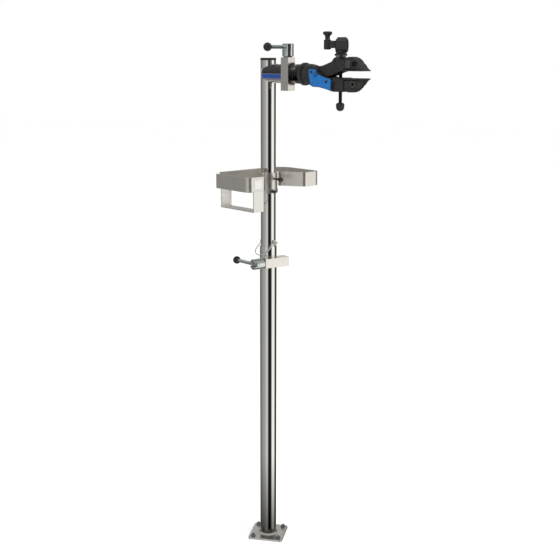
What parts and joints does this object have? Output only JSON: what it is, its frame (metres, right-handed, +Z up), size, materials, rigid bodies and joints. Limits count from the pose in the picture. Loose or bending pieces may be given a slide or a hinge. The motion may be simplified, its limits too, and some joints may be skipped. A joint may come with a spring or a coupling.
{
  "type": "bicycle repair stand",
  "caption": "Floor-bolted repair stand: telescoping post with draw-bar locks, tool tray with towel strap, and a turning arm with a screw-adjusted clamp.",
  "frame": {"origin": "centre of the square base plate's underside, on the floor", "axes": "+Z up along the post; X and Y along the base plate's sides; the clamp arm points 33 degrees clockwise of +X seen from above"},
  "size_m": [0.4946, 0.3907, 1.6692],
  "materials": {
    "plated_steel": "zinc-plated, satin",
    "chrome_tube": "bright chrome",
    "bright_steel": "bright plated",
    "zinc_steel": "bright zinc",
    "satin_steel": "satin stainless",
    "dark_steel": "blackened",
    "bronze": "plain",
    "white_nylon": "moulded",
    "black_plastic": "moulded, fine texture",
    "black_ball": "polished",
    "black_cast": "textured powder coat",
    "blue_plastic": "moulded",
    "jaw_rubber": "moulded, worn",
    "label_black": "printed film",
    "label_blue": "printed film",
    "label_blank": "bright blank plate"
  },
  "bodies": {
    "stand": {"base_plate": "plated_steel", "lower_tube": "chrome_tube", "low_bar": "bright_steel", "low_plug_near": "bronze", "low_washer": "dark_steel"},
    "low_lock": {"low_stud": "zinc_steel", "low_drum": "zinc_steel", "low_lever": "zinc_steel", "low_ball": "black_ball"},
    "low_plug": {"low_plug_far": "bronze"},
    "foot": {"mast_foot": "white_nylon"},
    "mast": {"mast_tube": "chrome_tube", "mast_cap": "black_plastic", "head_tube": "chrome_tube", "head_label": "label_black", "head_label_band": "label_blue", "head_bar": "bright_steel", "top_plug_upper": "bronze", "top_washer": "dark_steel", "safety_pin": "zinc_steel"},
    "bail": {"pin_bail": "zinc_steel"},
    "top_lock": {"top_stud": "zinc_steel", "top_drum": "zinc_steel", "top_lever": "zinc_steel", "top_ball": "black_ball"},
    "top_plug": {"top_plug_lower": "bronze"},
    "tray_stop": {"stop_ring": "satin_steel"},
    "stop_knob": {"stop_ring_screw": "black_plastic"},
    "tray": {"tray_pan": "satin_steel", "tray_sleeve": "satin_steel", "tray_label": "label_blank", "towel_strap": "satin_steel", "strap_rivets": "bright_steel"},
    "tray_knob": {"tray_screw": "black_plastic"},
    "clamp": {"clamp_shaft": "bright_steel", "shaft_plug": "black_plastic", "clamp_flange": "black_cast", "lower_arm": "black_cast", "arm_cover_near": "blue_plastic", "arm_cover_far": "blue_plastic", "cover_screws": "dark_steel", "pivot_pin": "dark_steel", "lower_jaw_cover": "jaw_rubber"},
    "lower_nut": {"lower_trunnion": "dark_steel"},
    "upper_jaw": {"upper_arm": "black_cast", "upper_jaw_cover": "jaw_rubber"},
    "screw_block": {"upper_trunnion": "dark_steel", "thrust_washer": "dark_steel"},
    "crank": {"clamp_screw": "dark_steel", "screw_end_cap": "black_plastic", "crank_hub": "black_plastic", "crank_spindle": "dark_steel"},
    "knob": {"crank_knob": "black_plastic"}
  },
  "joints": [
    {"name": "low_lock_turn", "type": "hinge", "parent": "stand", "child": "low_lock", "pos_m": [0.02263, -0.02263, 0.9565], "axis": [0.7071, 0.7071, 0], "range_deg": [-180, 20]},
    {"name": "low_plug_draw", "type": "slide", "parent": "stand", "child": "low_plug", "axis": [0.7071, 0.7071, 0], "range_m": [-0.0001, 0.0008]},
    {"name": "mast_lift", "type": "slide", "parent": "stand", "child": "foot", "axis": [0, 0, 1], "range_m": [-0.004, 0.1]},
    {"name": "mast_turn", "type": "hinge", "parent": "foot", "child": "mast", "pos_m": [0, 0, 0.74], "axis": [0, 0, 1], "continuous": true},
    {"name": "bail_swing", "type": "hinge", "parent": "mast", "child": "bail", "pos_m": [0, 0, 1.018], "axis": [-0.8387, 0.5446, 0], "range_deg": [0, 95]},
    {"name": "top_lock_turn", "type": "hinge", "parent": "mast", "child": "top_lock", "pos_m": [0.07902, -0.08947, 1.547], "axis": [0, 0, 1], "range_deg": [-100, 20]},
    {"name": "top_plug_draw", "type": "slide", "parent": "mast", "child": "top_plug", "axis": [0, 0, 1], "range_m": [-0.0005, 0.0001]},
    {"name": "tray_height", "type": "slide", "parent": "mast", "child": "tray_stop", "axis": [0, 0, 1], "range_m": [-0.035, 0.13]},
    {"name": "stop_screw_turn", "type": "hinge", "parent": "tray_stop", "child": "stop_knob", "pos_m": [0, 0, 1.183], "axis": [0.6613, -0.7501, 0], "continuous": true},
    {"name": "tray_swivel", "type": "hinge", "parent": "tray_stop", "child": "tray", "pos_m": [0, 0, 1.196], "axis": [0, 0, 1], "continuous": true},
    {"name": "tray_screw_turn", "type": "hinge", "parent": "tray", "child": "tray_knob", "pos_m": [0, 0, 1.222], "axis": [0.8387, -0.5446, 0], "continuous": true},
    {"name": "clamp_turn", "type": "hinge", "parent": "mast", "child": "clamp", "pos_m": [0, 0, 1.547], "axis": [0.8387, -0.5446, 0], "continuous": true},
    {"name": "jaw_open", "type": "hinge", "parent": "clamp", "child": "upper_jaw", "pos_m": [0.1887, -0.12254, 1.547], "axis": [-0.5446, -0.8387, 0], "range_deg": [-6, 24]},
    {"name": "lower_nut_turn", "type": "hinge", "parent": "clamp", "child": "lower_nut", "pos_m": [0.24825, -0.16121, 1.514], "axis": [-0.5446, -0.8387, 0], "range_deg": [-3.5, 12.5]},
    {"name": "screw_lean", "type": "hinge", "parent": "upper_jaw", "child": "screw_block", "pos_m": [0.24825, -0.16121, 1.58], "axis": [-0.5446, -0.8387, 0], "range_deg": [-12.5, 3.5]},
    {"name": "crank_spin", "type": "hinge", "parent": "screw_block", "child": "crank", "pos_m": [0.24825, -0.16121, 1.58], "axis": [0, 0, 1], "range_deg": [-185, 725]},
    {"name": "knob_spin", "type": "hinge", "parent": "crank", "child": "knob", "pos_m": [0.2083, -0.15912, 1.6473], "axis": [0, 0, 1], "continuous": true}
  ],
  "couplings": [
    {"joint": "low_plug_draw", "follows": "low_lock_turn", "m_per_rad": -0.00023873},
    {"joint": "top_plug_draw", "follows": "top_lock_turn", "m_per_rad": 0.00023873},
    {"joint": "lower_nut_turn", "follows": "jaw_open", "ratio": 0.5},
    {"joint": "screw_lean", "follows": "jaw_open", "ratio": -0.5},
    {"joint": "crank_spin", "follows": "jaw_open", "ratio": 30}
  ]
}
